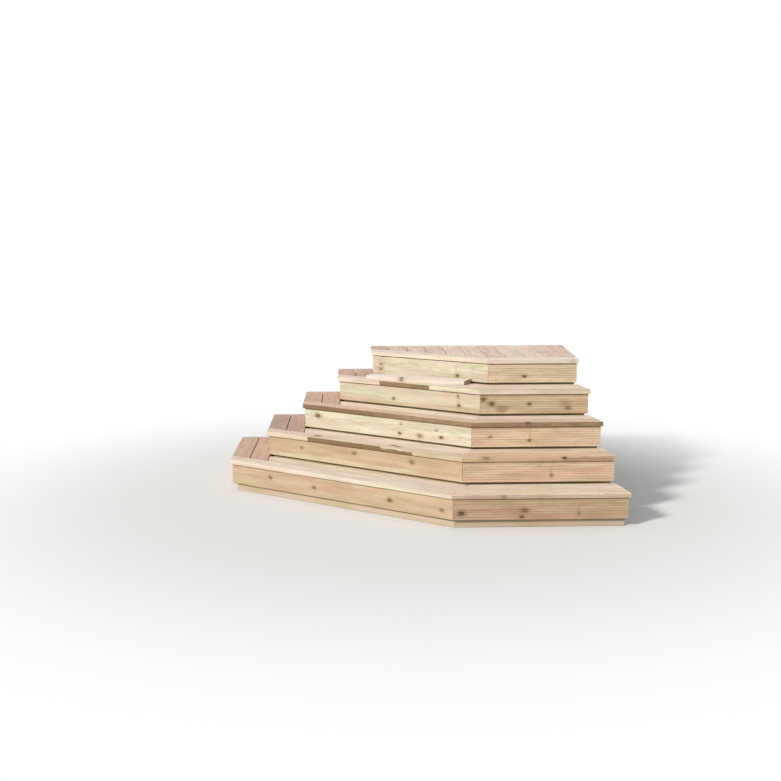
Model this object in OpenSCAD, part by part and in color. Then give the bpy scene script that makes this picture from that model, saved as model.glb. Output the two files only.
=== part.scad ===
// Corner deck stairs: five stacked timber frames, each smaller than the one below,
// faced with decking boards on a side edge, a diagonal edge and a front edge.
// The back is flat and stands against a wall, and the right ends follow a wall that bends.

/* [Steps] */
// Height from one tread to the next
rise = 162; // [150:1:190]
// How far a tread stands out past the riser below it
overhang = 15; // [5:1:25]
// Gap between a riser and the tread under it
riser_foot_gap = 10; // [4:1:20]
// Gap between a riser and the tread over it
riser_head_gap = 4; // [0.5:0.5:8]
// Angle of the diagonal edge to the front edge, in degrees
diagonal_angle = 36.5; // [25:0.5:50]
// How far the right end of each step moves outward from the step above
right_step = 31; // [0:1:60]

/* [Platform] */
// Length of the platform's side edge, from the back to the diagonal
side_length = 336; // [300:1:600]
// Length of the platform's diagonal edge
diagonal_length = 901; // [700:1:1200]
// Length of the platform's front edge
front_length = 578; // [400:1:900]
// How far the platform's right edge leans outward at the back
right_flare = 58; // [0:1:80]

/* [Boards] */
// Width of a decking board
board_w = 120; // [95:1:145]
// Thickness of a decking board
board_t = 28; // [20:1:32]
// Gap between two boards of a tread
board_gap = 4; // [2:0.5:8]
// Radius of the long edges of a board
board_edge = 4; // [1:0.5:6]
// Gap where two boards meet at a mitre or a butt joint
joint_gap = 1; // [0.4:0.2:3]
// Gap between a tread's last board and the riser behind it
tread_back_gap = 1; // [0.5:0.5:4]
// Gap between the right end of a riser and the right end of its tread
riser_end_gap = 8; // [2:1:20]

/* [Reeded face] */
// Radius of a groove
groove_r = 3.2; // [1.5:0.1:4]
// Distance from one groove to the next
groove_pitch = 15; // [10:0.5:18]
// Plain strip between the outermost grooves and the edge of the board
groove_margin = 12; // [8:0.5:20]

/* [Frames] */
// Width of a frame timber
timber_w = 45; // [38:1:50]
// Radius of the long edges of a frame timber
timber_edge = 3; // [1:0.5:6]
// Gap between the end of a frame timber and the one that it meets
timber_gap = 0.5; // [0.2:0.1:2]
// Gap between the frames and the wall line on the right
frame_end_gap = 20; // [10:1:40]
// Least gap between the last two joists of a frame
joist_min_gap = 60; // [20:5:120]
// Thickness of a sole plate
sole_t = 38; // [30:1:50]
// Width of a sole plate
sole_w = 89; // [70:1:120]

/* [Short riser piece] */
// Length of the short piece at the left end of the top diagonal riser
short_piece_l = 84; // [50:1:200]

/* [Loose board] */
// Length of the loose board left lying on the fourth tread
loose_l = 690; // [400:1:800]
// Distance of its front left corner along the diagonal edge
loose_along = 226; // [100:1:300]
// Gap between its back right corner and the riser behind it
loose_gap = 0.5; // [0.3:0.1:5]
// Angle between the loose board and the diagonal edge, in degrees
loose_angle = 9.5; // [0:0.5:10]

/* [Hidden] */

levels = 5;
edge_steps = 3;
spare = 5;
reach = 4000;
board_pitch = board_w + board_gap;
going = 2 * board_w + board_gap + tread_back_gap - overhang;
rim_in = overhang + board_t;
frame_in = rim_in + timber_w;
joist_pitch = going;
riser_h = rise - board_t - riser_foot_gap - riser_head_gap;
loose_reach = loose_l * sin(loose_angle) + board_w * cos(loose_angle);
loose_inset = going + overhang - loose_reach - loose_gap;
tread_colour = [0.86, 0.79, 0.70];
diagonal_riser_colour = [0.91, 0.85, 0.70];
front_riser_colour = [0.80, 0.69, 0.52];
timber_colour = [0.72, 0.66, 0.48];

// Directions in plan: along and inward from the diagonal edge
along_diagonal = [cos(diagonal_angle), -sin(diagonal_angle)];
in_diagonal = [sin(diagonal_angle), cos(diagonal_angle)];

// Plan of the platform, with its back left corner at zero
platform_corner = [0, -side_length];
platform_front = -side_length - diagonal_length * sin(diagonal_angle);
platform_right = diagonal_length * cos(diagonal_angle) + front_length;
board_count = ceil((platform_right + right_flare) / board_pitch);

// Plan of any level: how far its edges lie outside those of the platform
function outset(n) = (levels - n) * going;
function left_x(n, inset) = inset - outset(n);
function front_y(n, inset) = platform_front - outset(n) + inset;
function side_corner(n, side_inset, inset) =
    let (x = left_x(n, side_inset))
    let (d = in_diagonal * platform_corner - outset(n) + inset)
    [x, (d - in_diagonal[0] * x) / in_diagonal[1]];
function front_corner(n, inset, front_inset) =
    let (y = front_y(n, front_inset))
    let (d = in_diagonal * platform_corner - outset(n) + inset)
    [(d - in_diagonal[1] * y) / in_diagonal[0], y];
// The wall line on the right bends at the front of the platform
function right_x(y) = y < platform_front
    ? platform_right + (platform_front - y) * right_step / going
    : platform_right + (y - platform_front) * right_flare / -platform_front;
function right_end(y, gap) = [right_x(y) - gap, y];

// Heights
function tread_z(n) = sole_t + n * rise;
function frame_top(n) = tread_z(n) - board_t;
function frame_foot(n) = n == 1 ? sole_t : frame_top(n - 1);
function riser_foot(n) = tread_z(n - 1) + riser_foot_gap;

// The assembly is centred over its own footprint
base_right = right_x(front_y(1, 0));
overall_w = max(base_right, right_x(0)) - left_x(1, 0);
overall_d = -front_y(1, 0);
centre = [left_x(1, 0) + overall_w / 2, -overall_d / 2];
module centred() {
    translate([-centre[0], -centre[1], 0]) children();
}

// A rectangle with rounded corners, as boards and timbers have in section
function eased_section(w, t, r) = [
    for (c = [[w - r, t - r, 0], [r, t - r, 90], [r, r, 180], [w - r, r, 270]])
        for (s = [0 : edge_steps])
            let (a = c[2] + s * 90 / edge_steps)
            [c[0] + r * cos(a), c[1] + r * sin(a)]
];

// Section of a board, with its reeded face down and its smooth face up
module board_section(w) {
    count = floor((w - 2 * groove_margin) / groove_pitch) + 1;
    difference() {
        polygon(eased_section(w, board_t, board_edge));
        for (i = [0 : count - 1])
            translate([w / 2 + (i - (count - 1) / 2) * groove_pitch, 0])
                circle(r = groove_r, $fn = 24);
    }
}

// A long bar along one edge of a level: x runs along the edge and y inward from it
module along_edge(side, n) {
    at = side == "front" ? front_corner(n, 0, 0) : side_corner(n, 0, 0);
    turn = side == "side" ? -90 : side == "diagonal" ? -diagonal_angle : 0;
    translate([at[0], at[1], 0]) rotate([0, 0, turn]) children();
}

// A board laid flat, smooth face up
module flat_bar(inset) {
    translate([-reach, inset, 0]) rotate([90, 0, 90])
        linear_extrude(height = 2 * reach) board_section(board_w);
}

// A board on edge, with its reeded face or its smooth face outward
module upright_bar(reeded) {
    translate([-reach, overhang, riser_h]) rotate([90, 90, 90])
        linear_extrude(height = 2 * reach) {
            if (reeded) board_section(riser_h);
            else translate([0, board_t]) mirror([0, 1]) board_section(riser_h);
        }
}

// A timber with eased edges: x runs along it and y across it
module timber_bar(w, h) {
    translate([-reach, 0, 0]) rotate([90, 0, 90])
        linear_extrude(height = 2 * reach) polygon(eased_section(w, h, timber_edge));
}

// Strips in plan between two insets, mitred at the corners
function side_strip(n, a, b, gap) = [
    [left_x(n, a), spare], [left_x(n, b), spare],
    side_corner(n, b, b) + [0, gap], side_corner(n, a, a) + [0, gap]
];
function diagonal_strip(n, a, b, gap) = [
    side_corner(n, a, a) + gap * along_diagonal, front_corner(n, a, a) - gap * along_diagonal,
    front_corner(n, b, b) - gap * along_diagonal, side_corner(n, b, b) + gap * along_diagonal
];
function front_strip(n, a, b, gap, end_gap) = [
    front_corner(n, a, a) + [gap, 0], right_end(front_y(n, a), end_gap),
    right_end(front_y(n, b), end_gap), front_corner(n, b, b) + [gap, 0]
];
// A strip along the diagonal whose left end is cut parallel to the side edge
function cut_diagonal_strip(n, side_inset, a, b, gap) = [
    side_corner(n, side_inset, a), front_corner(n, a, a) - gap * along_diagonal,
    front_corner(n, b, b) - gap * along_diagonal, side_corner(n, side_inset, b)
];

// Everything of a level behind a line, up to the back and the wall on the right
function inner_plan(n, side_inset, inset, back) = [
    [left_x(n, side_inset), -back], side_corner(n, side_inset, inset),
    front_corner(n, inset, inset), right_end(front_y(n, inset), 0),
    right_end(max(platform_front, front_y(n, inset)), 0), right_end(-back, 0)
];

module kept_within(plan, z, h) {
    intersection() {
        children();
        translate([0, 0, z - spare]) linear_extrude(height = h + 2 * spare) polygon(plan);
    }
}

module tread_board(n, side, inset, plan) {
    foot = frame_top(n);
    kept_within(plan, foot, board_t)
        translate([0, 0, foot]) along_edge(side, n) flat_bar(inset);
}

module riser_board(n, side, plan, reeded) {
    foot = riser_foot(n);
    kept_within(plan, foot, riser_h)
        translate([0, 0, foot]) along_edge(side, n) upright_bar(reeded);
}

// Treads
module nosings(n) {
    color(tread_colour) centred() {
        tread_board(n, "diagonal", 0,
            cut_diagonal_strip(n, 0, -spare, board_w + spare, joint_gap / 2));
        tread_board(n, "front", 0,
            front_strip(n, -spare, board_w + spare, joint_gap / 2, 0));
    }
}

module inner_boards(n) {
    a = board_pitch - spare;
    b = board_pitch + board_w + spare;
    color(tread_colour) centred() {
        tread_board(n, "diagonal", board_pitch,
            cut_diagonal_strip(n, 2 * board_pitch, a, b, joint_gap / 2));
        tread_board(n, "front", board_pitch, front_strip(n, a, b, joint_gap / 2, 0));
    }
}

module side_boards(n, count) {
    color(tread_colour) centred()
        for (i = [0 : count - 1])
            tread_board(n, "side", i * board_pitch, inner_plan(n, 0, board_pitch, 0));
}

// Risers
module side_riser(n) {
    color(diagonal_riser_colour) centred()
        kept_within(inner_plan(n, 0, 0, 0), riser_foot(n), riser_h)
            riser_board(n, "side",
                side_strip(n, overhang - spare, rim_in + spare, joint_gap / 2), false);
}

module diagonal_riser(n) {
    color(diagonal_riser_colour) centred()
        riser_board(n, "diagonal",
            diagonal_strip(n, overhang - spare, rim_in + spare, joint_gap / 2), false);
}

// The top diagonal riser is made up with a short piece at its left end
module pieced_diagonal_riser(n) {
    start = side_corner(n, overhang, overhang);
    strip = diagonal_strip(n, overhang - spare, rim_in + spare, joint_gap / 2);
    cut = start + (short_piece_l + joint_gap / 2) * along_diagonal;
    color(diagonal_riser_colour) centred() {
        difference() {
            riser_board(n, "diagonal", strip, false);
            beyond_cut(cut, riser_foot(n), -joint_gap);
        }
        intersection() {
            riser_board(n, "diagonal", strip, false);
            beyond_cut(cut, riser_foot(n), 0);
        }
    }
}

// A block that covers all of a riser to the right of a square cut
module beyond_cut(cut, z, shift) {
    translate([cut[0], cut[1], z - spare]) rotate([0, 0, -diagonal_angle])
        translate([shift, -riser_h, 0]) cube([reach, 2 * riser_h, riser_h + 2 * spare]);
}

module front_riser(n) {
    color(front_riser_colour) centred()
        riser_board(n, "front",
            front_strip(n, overhang - spare, rim_in + spare, joint_gap / 2, riser_end_gap), true);
}

// Frames: a timber along an edge, one from back to front and one from side to side
function frame_h(n) = frame_top(n) - frame_foot(n);

module edge_timber(n, side, plan) {
    kept_within(plan, frame_foot(n), frame_h(n))
        translate([0, 0, frame_foot(n)]) along_edge(side, n)
            translate([0, rim_in, 0]) timber_bar(timber_w, frame_h(n));
}

module lengthwise_timber(n, x, plan) {
    kept_within(plan, frame_foot(n), frame_h(n))
        translate([x + timber_w, 0, frame_foot(n)]) rotate([0, 0, 90])
            timber_bar(timber_w, frame_h(n));
}

module crosswise_timber(n, y, plan) {
    kept_within(plan, frame_foot(n), frame_h(n))
        translate([0, y, frame_foot(n)]) timber_bar(timber_w, frame_h(n));
}

module rims(n) {
    a = rim_in - spare;
    b = frame_in + spare;
    color(timber_colour) centred() {
        edge_timber(n, "diagonal", cut_diagonal_strip(n, rim_in, a, b, timber_gap / 2));
        edge_timber(n, "front", front_strip(n, a, b, timber_gap / 2, frame_end_gap));
    }
}

// Room inside the rims, up to the joist on the right
joist_right = platform_right - frame_end_gap;
function room(n) = [
    [left_x(n, rim_in), -timber_w - timber_gap],
    side_corner(n, rim_in, frame_in + timber_gap),
    front_corner(n, frame_in + timber_gap, frame_in + timber_gap),
    [joist_right, front_y(n, frame_in + timber_gap)],
    [joist_right, -timber_w - timber_gap]
];

// A part of a level from back to front between two lines
function between(left, right) = [[left, spare], [left, -reach], [right, -reach], [right, spare]];

module back_bearer(n) {
    crosswise_timber(n, -timber_w, between(left_x(n, rim_in), joist_right));
}

// A joist from back to front, cut to fit behind the rims
module joist(n, x) {
    lengthwise_timber(n, x, room(n));
}

// A noggin between the first two joists carries the side boards
module noggin(n) {
    left = left_x(n, frame_in) + timber_gap;
    right = left_x(n, rim_in) + joist_pitch - timber_gap;
    front = side_corner(n, rim_in + joist_pitch, frame_in);
    crosswise_timber(n, front[1] / 2 - timber_w, between(left, right));
}

module joists(n) {
    first = left_x(n, rim_in);
    last = joist_right - timber_w;
    count = floor((last - timber_w - joist_min_gap - first) / joist_pitch);
    color(timber_colour) centred() {
        back_bearer(n);
        for (i = [0 : count]) joist(n, first + i * joist_pitch);
        joist(n, last);
        noggin(n);
    }
}

// Bearers of the platform run from side to side, under boards that run to the front
module platform_joists(n) {
    first = left_x(n, rim_in);
    last = joist_right - timber_w;
    count = floor((-front_y(n, frame_in) - timber_w) / joist_pitch);
    color(timber_colour) centred() {
        back_bearer(n);
        joist(n, first);
        joist(n, last);
        for (i = [1 : count])
            kept_within(between(first + timber_w + timber_gap, last - timber_gap),
                    frame_foot(n), frame_h(n))
                crosswise_timber(n, -i * joist_pitch - timber_w, room(n));
    }
}

// Sole plates on the ground, flush with the faces of the lowest frame
module sole(side, inset, plan) {
    kept_within(plan, 0, sole_t)
        along_edge(side, 1) translate([0, inset, 0]) timber_bar(sole_w, sole_t);
}

module outer_soles() {
    a = rim_in - spare;
    b = rim_in + sole_w + spare;
    color(timber_colour) centred() {
        sole("diagonal", rim_in, diagonal_strip(1, a, b, timber_gap / 2));
        sole("front", rim_in, front_strip(1, a, b, timber_gap / 2, frame_end_gap));
        sole("side", rim_in, [
            [left_x(1, a), -sole_w - timber_gap], [left_x(1, b), -sole_w - timber_gap],
            side_corner(1, b, b) + [0, timber_gap / 2], side_corner(1, a, a) + [0, timber_gap / 2]
        ]);
    }
}

module back_sole() {
    front = front_y(1, rim_in + sole_w + timber_gap);
    color(timber_colour) centred() {
        kept_within(between(left_x(1, rim_in), joist_right), 0, sole_t)
            translate([0, -sole_w, 0]) timber_bar(sole_w, sole_t);
        translate([joist_right, 0, 0]) rotate([0, 0, 90])
            intersection() {
                timber_bar(sole_w, sole_t);
                translate([front, -spare, -spare])
                    cube([-sole_w - timber_gap - front, sole_w + 2 * spare, sole_t + 2 * spare]);
            }
    }
}

// A cut length of board left lying on the fourth tread
module offcut() {
    color(tread_colour) centred()
        translate([0, 0, tread_z(4)]) along_edge("diagonal", 4)
            translate([loose_along, loose_inset, 0]) rotate([0, 0, loose_angle])
                rotate([90, 0, 90]) linear_extrude(height = loose_l) board_section(board_w);
}

nosings(1);  // tread_1_nosings
inner_boards(1);  // tread_1_inner_boards
side_boards(1, 2);  // tread_1_side_boards
nosings(2);  // tread_2_nosings
inner_boards(2);  // tread_2_inner_boards
side_boards(2, 2);  // tread_2_side_boards
nosings(3);  // tread_3_nosings
inner_boards(3);  // tread_3_inner_boards
side_boards(3, 2);  // tread_3_side_boards
nosings(4);  // tread_4_nosings
inner_boards(4);  // tread_4_inner_boards
side_boards(4, 2);  // tread_4_side_boards
nosings(5);  // platform_nosings
side_boards(5, board_count);  // platform_boards
side_riser(1);  // riser_1_side
diagonal_riser(1);  // riser_1_diagonal
front_riser(1);  // riser_1_front
side_riser(2);  // riser_2_side
diagonal_riser(2);  // riser_2_diagonal
front_riser(2);  // riser_2_front
side_riser(3);  // riser_3_side
diagonal_riser(3);  // riser_3_diagonal
front_riser(3);  // riser_3_front
side_riser(4);  // riser_4_side
diagonal_riser(4);  // riser_4_diagonal
front_riser(4);  // riser_4_front
side_riser(5);  // riser_5_side
pieced_diagonal_riser(5);  // riser_5_diagonal
front_riser(5);  // riser_5_front
rims(1);  // frame_1_rims
joists(1);  // frame_1_joists
rims(2);  // frame_2_rims
joists(2);  // frame_2_joists
rims(3);  // frame_3_rims
joists(3);  // frame_3_joists
rims(4);  // frame_4_rims
joists(4);  // frame_4_joists
rims(5);  // frame_5_rims
platform_joists(5);  // frame_5_joists
outer_soles();  // sole_plates_outer
back_sole();  // sole_plate_back
offcut();  // loose_board
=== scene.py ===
"""Looks for the wooden corner deck stairs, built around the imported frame.

Every board and timber is taken from the frame, cut into short lengths, bent a little as real
boards are, and given its own growth rings, knots and tint. Lengths are metres.
"""

import math
import random

import bmesh
import bpy
from mathutils import Matrix, Vector
from mathutils.bvhtree import BVHTree


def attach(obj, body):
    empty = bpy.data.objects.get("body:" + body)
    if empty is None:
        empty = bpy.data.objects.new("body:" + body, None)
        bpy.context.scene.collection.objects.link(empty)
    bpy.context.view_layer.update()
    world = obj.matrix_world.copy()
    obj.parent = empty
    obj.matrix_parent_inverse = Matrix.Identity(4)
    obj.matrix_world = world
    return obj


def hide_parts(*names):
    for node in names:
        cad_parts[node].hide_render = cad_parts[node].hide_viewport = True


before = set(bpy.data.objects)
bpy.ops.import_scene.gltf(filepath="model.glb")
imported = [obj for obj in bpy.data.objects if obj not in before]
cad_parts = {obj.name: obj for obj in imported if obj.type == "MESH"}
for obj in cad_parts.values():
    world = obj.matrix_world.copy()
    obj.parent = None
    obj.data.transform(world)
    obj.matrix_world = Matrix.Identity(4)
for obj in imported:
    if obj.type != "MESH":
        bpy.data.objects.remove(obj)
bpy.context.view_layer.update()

SEED = 7523
LEVELS = 5
MM_PER_METRE = 1000
UPWARD = Vector((0, 0, 1))

# The photograph's view, fitted to the edges of the steps
PHOTO_PIXELS = 781
SENSOR_MM = 36.0
FOCAL_MM = 50.527
CAMERA_PLACE = Vector((-0.3763, -6.8355, 1.6505))
CAMERA_YAW = math.radians(1.938)
CAMERA_PITCH = math.radians(-8.254)
CAMERA_ROLL = math.radians(-0.094)
CAMERA_REACH = 200

# Boards as meshes
WELD = 1e-5
CUT_MARGIN = 1e-6
FLAT_ANGLE = math.radians(1.0)
SMOOTH_ANGLE = math.radians(35.0)
NORMAL_WEIGHT = 100
SLICE = 0.07          # length between the cuts that let a board bend
END_FACE = 0.6        # a face is an end where its normal has more of the board's direction
LEVEL_EDGE = 0.1      # an edge is level where it rises by less than this share of its length
NEGLIGIBLE = 0.2      # a direction's x or y below this counts as none
DECIMALS = 3          # of the lengths that boards are sorted by

# Each board's own bend, and where it lay in its tree
BOW = 0.0005
CROOK = 0.0003
TWIST = 0.006         # radians over the length
GRAIN_OFFSET = 30     # boards lie at different places in the noise, up to this far along
PITH_ACROSS = 0.06
PITH_OUT = (0.03, 0.09)
HEART_RADIUS = (0.0, 0.04)
SHADE_SPREAD = 0.03   # how much paler or darker than its tint a board can be

# Small knots that any board has
KNOTS_PER_METRE = (0.8, 2.2)
KNOT_FROM_END = 0.03
KNOT_LEAST_SPAN = 0.01
KNOT_ACROSS = 0.4     # in widths of the board
SMALL_KNOT_RADIUS = (0.0018, 0.0045)
SMALL_KNOT_DARKNESS = (0.2, 0.6)

# How many marks of each kind the shaders read, and unused ones, which never show
MOST_KNOTS = 6
MOST_SMUDGES = 2
MOST_STRETCHES = 2
FAR_AWAY = -50.0
BLANK_KNOT = (FAR_AWAY, 0, 0.001, 0)
BLANK_SMUDGE = (FAR_AWAY, 0, 1, 1, 0)
BLANK_STRETCH = (FAR_AWAY, FAR_AWAY, 0, 0)

# Screws
SCREW_RADIUS = 0.0042
SCREW_SIDES = 12
LOBE_DEPTH = 0.72     # inner radius of the lobed socket, as a share of its outer radius
SCREW_ACROSS = 0.036  # from the middle line of a board
SCREW_SPACING = 0.42  # about, in a row
SCREW_END = 0.028     # the least way from a screw to a cut end of its board
SCREW_ROW_END = 0.05  # from the end of a row to the end of its board
TIMBER_END = 0.012    # the least way from a screw to the end of its timber
NOSING_ROWS = (0.0055, 0.044)  # from the middle line of a nosing board
PARALLEL = 0.3        # a board and a timber cross where the sine between them is larger
PROBE = 0.01          # how far above and below a face the test for it reaches

# Rings of a screw head from its rim to the floor of its socket: radius, height, lobed
SCREW_RINGS = [
    (1.0, -0.0010, False),
    (0.98, 0.00015, False),
    (0.86, 0.0004, False),
    (0.46, 0.00045, True),
    (0.40, 0.00008, True),
]

# Light and floor
KEY_STRENGTH = 3.0
KEY_COLOUR = (1.0, 0.97, 0.92)
KEY_ANGLE = math.radians(8)
KEY_SIDE = Vector((-0.67, -0.57, 0.47))
FILL_STRENGTH = 0.46
FILL_COLOUR = (0.93, 0.965, 1.0)
WHITE = (1.0, 1.0, 1.0)
FLOOR_COLOUR = (0.87, 0.865, 0.85)
FLOOR_REACH = 60.0
FLOOR_DROP = 0.001
FLOOR_FADE = (1.3, 3.6)  # distances from the middle between which the floor turns white


def seen(red, green, blue):
    """A colour as it is seen on a screen, 0 to 255, as linear values for a shader."""
    def channel(value):
        value = value / 255
        return value / 12.92 if value <= 0.04045 else ((value + 0.055) / 1.055) ** 2.4
    return tuple(channel(value) for value in (red, green, blue))


# Tints of the boards: pale, pink, yellow and brown ones, and sawn timber
CHALK = seen(238, 228, 216)
PEARL = seen(243, 224, 211)
MILK = seen(237, 222, 203)
CREAM = seen(231, 215, 197)
BLUSH = seen(231, 209, 192)
ROSE = seen(223, 196, 179)
# CLAY and the two darker tints below it, for the side boards on the left, are partly the boards' own
# tone and partly painted shade
CLAY = seen(204, 171, 151)
SHADED_CLAY = seen(193, 163, 147)
DEEP_SHADED_CLAY = seen(185, 153, 138)
WHEAT = seen(200, 192, 170)
STRAW = seen(196, 186, 164)
SHELL = seen(236, 209, 187)
BISCUIT = seen(230, 208, 185)
PEACH = seen(221, 193, 167)
APRICOT = seen(225, 190, 161)
HONEY = seen(191, 176, 149)
OAT = seen(208, 189, 162)
SAND = seen(197, 178, 160)
BARLEY = seen(210, 184, 160)
AMBER = seen(205, 181, 154)
FAWN = seen(180, 153, 126)
OLIVE = seen(194, 176, 143)
SAWN = seen(184, 168, 130)
SOLE = seen(189, 170, 148)

# The boards of each node: those along the diagonal first, then from left to right
# The side boards and the first platform board take the CLAY tints, which are darker partly from
# painted shade
TINTS = {
    "platform_nosings": [CREAM, PEARL],
    "platform_boards": [CLAY, ROSE, ROSE, ROSE, BLUSH, BLUSH, ROSE, BLUSH, BLUSH, ROSE, ROSE],
    "tread_4_nosings": [CREAM, CREAM],
    "tread_4_inner_boards": [CREAM, BLUSH],
    "tread_4_side_boards": [CLAY, SHADED_CLAY],
    "tread_3_nosings": [PEACH, PEACH],
    "tread_3_inner_boards": [MILK, MILK],
    "tread_3_side_boards": [CLAY, CLAY],
    "tread_2_nosings": [BISCUIT, APRICOT],
    "tread_2_inner_boards": [CREAM, BISCUIT],
    "tread_2_side_boards": [DEEP_SHADED_CLAY, SHADED_CLAY],
    "tread_1_nosings": [CREAM, SHELL],
    "tread_1_inner_boards": [CREAM, CREAM],
    "tread_1_side_boards": [CLAY, CLAY],
    "riser_5_diagonal": [SAND, STRAW],
    "riser_4_diagonal": [STRAW],
    "riser_3_diagonal": [WHEAT],
    "riser_2_diagonal": [HONEY],
    "riser_1_diagonal": [HONEY],
    "riser_5_front": [OAT],
    "riser_4_front": [OLIVE],
    "riser_3_front": [BARLEY],
    "riser_2_front": [AMBER],
    "riser_1_front": [FAWN],
    "loose_board": [CHALK],
}

# How much of a board's tint its ends have; the rest is dark brown
END_TONES = {"loose_board": 0.62}

# Boards whose heart wood shows in the photograph: the pith's place across and out of the board, and
# the radius of the heart wood around it
HEARTS = {
    "riser_5_diagonal": (0.03, -0.10, 0.0),
    "riser_4_diagonal": (-0.10, -0.10, 0.131),
    "riser_3_diagonal": (0.02, -0.09, 0.0),
    "riser_2_diagonal": (0.10, -0.10, 0.176),
    "riser_1_diagonal": (0.06, -0.10, 0.172),
    "riser_5_front": (-0.04, -0.09, 0.0),
    "riser_4_front": (-0.10, -0.10, 0.124),
    "riser_3_front": (0.05, -0.08, 0.06),
}

# What the photograph shows on single boards: pixels, and radii and reaches in millimetres
KNOTS = [
    dict(px=318.0, py=415.5, radius=11.5, dark=0.8),
    dict(px=399.7, py=433.3, radius=6, dark=1.0),
    dict(px=419.6, py=435.8, radius=11, dark=0.35),
    dict(px=441.2, py=437.6, radius=7, dark=0.9),
    dict(px=401.0, py=424.3, radius=5, dark=0.4),
    dict(px=436.3, py=430.6, radius=5.5, dark=0.4),
    dict(px=301.8, py=447.6, radius=6.5, dark=0.5),
    dict(px=354.2, py=453.1, radius=7.5, dark=0.6),
    dict(px=411.8, py=462.3, radius=9, dark=0.5),
    dict(px=301.8, py=427.9, radius=5, dark=0.5),
    dict(px=317.6, py=435.9, radius=12, dark=1.0),
    dict(px=393.1, py=445.4, radius=10, dark=1.0),
    dict(px=398.2, py=446.8, radius=9, dark=1.0),
    dict(px=381.3, py=364.0, radius=6, dark=0.5),
    dict(px=381.0, py=368.9, radius=5.5, dark=0.5),
    dict(px=457.3, py=375.6, radius=7, dark=0.9),
    dict(px=393.6, py=398.5, radius=7, dark=0.6),
    dict(px=457.9, py=396.4, radius=5, dark=0.5),
    dict(px=458.9, py=405.8, radius=7, dark=0.8),
    dict(px=401.3, py=379.2, radius=8, dark=0.45),
    dict(px=524.3, py=376.4, radius=7, dark=0.8),
    dict(px=483.4, py=399.3, radius=8, dark=0.8),
    dict(px=491.8, py=403.8, radius=9, dark=0.8),
    dict(px=529.3, py=404.4, radius=6.5, dark=0.7),
    dict(px=568.2, py=408.0, radius=9, dark=0.45),
    dict(px=528.3, py=422.7, radius=7, dark=1.0),
    dict(px=490.2, py=437.0, radius=7, dark=0.3),
    dict(px=529.4, py=440.7, radius=5.5, dark=0.6),
    dict(px=564.4, py=457.2, radius=6.5, dark=1.0),
    dict(px=485.9, py=457.3, radius=12, dark=0.3),
    dict(px=551.5, py=475.9, radius=6.5, dark=0.4),
    dict(px=389.7, py=500.3, radius=8, dark=0.9),
    dict(px=314.0, py=487.5, radius=7, dark=0.7),
    dict(px=270.4, py=477.5, radius=7, dark=0.7),
    dict(px=441.6, py=510.2, radius=7, dark=0.6),
    dict(px=461.3, py=513.6, radius=10, dark=0.9),
    dict(px=524.8, py=510.4, radius=9, dark=0.7),
    dict(px=521.7, py=517.2, radius=6, dark=0.85),
    dict(px=579.0, py=513.4, radius=5.2, dark=0.4),
    dict(px=503.8, py=497.9, radius=6, dark=0.3),
    dict(px=467.5, py=485.8, radius=5, dark=0.5),
]
SMUDGES = [
    dict(px=456.0, py=369.5, along=16, across=30, strength=0.3),
    dict(px=380.5, py=366.5, along=26, across=60, strength=0.3),
    dict(px=458.2, py=401.0, along=11, across=40, strength=0.3),
    dict(px=520.0, py=376.0, along=80, across=16, strength=0.5),
    dict(px=501.9, py=409.0, along=40, across=24, strength=1.0),
    dict(px=564.5, py=404.0, along=44, across=30, strength=0.55),
    dict(px=530.0, py=436.0, along=9, across=44, strength=0.5),
    dict(px=550.8, py=472.5, along=9, across=34, strength=0.45),
    dict(px=579.0, py=510.0, along=10, across=36, strength=0.4),
    dict(px=519.0, py=511.0, along=60, across=18, strength=0.4),
    dict(px=513.0, py=474.5, along=80, across=14, strength=0.3),
    dict(px=419.7, py=435.8, along=26, across=16, strength=0.3),
    dict(px=572.7, py=361.8, along=18, across=9, strength=0.5),
    dict(px=335.0, py=410.6, along=420, across=8, strength=0.8),
    dict(px=345.0, py=443.8, along=300, across=8, strength=0.5),
    dict(px=440.0, py=456.0, along=220, across=8, strength=0.5),
]
# Brown stretches of the front edges of nosing boards: two pixels on the edge, whether the whole
# length is brown, the share of its height that is, counted from below, and how brown it is
BROWN_EDGES = [
    dict(start=(305.0, 406.6), end=(466.0, 426.0), whole=True, cover=1.2, strength=0.9),
    dict(start=(472.0, 424.8), end=(588.0, 423.9), whole=True, cover=1.2, strength=0.9),
    dict(start=(307.4, 438.8), end=(380.5, 447.9), whole=False, cover=1.2, strength=1.0),
    dict(start=(380.5, 448.5), end=(412.0, 452.2), whole=False, cover=0.7, strength=1.0),
    # This stretch, beneath the loose board's front edge, is partly painted shadow of the loose board
    dict(start=(379.4, 383.9), end=(429.2, 388.9), whole=False, cover=1.2, strength=1.0),
    dict(start=(480.0, 459.6), end=(588.0, 458.9), whole=True, cover=0.8, strength=0.2),
    dict(start=(566.0, 459.3), end=(613.0, 459.0), whole=False, cover=0.9, strength=0.5),
    dict(start=(480.0, 498.0), end=(590.0, 497.0), whole=True, cover=0.8, strength=0.4),
]


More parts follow.
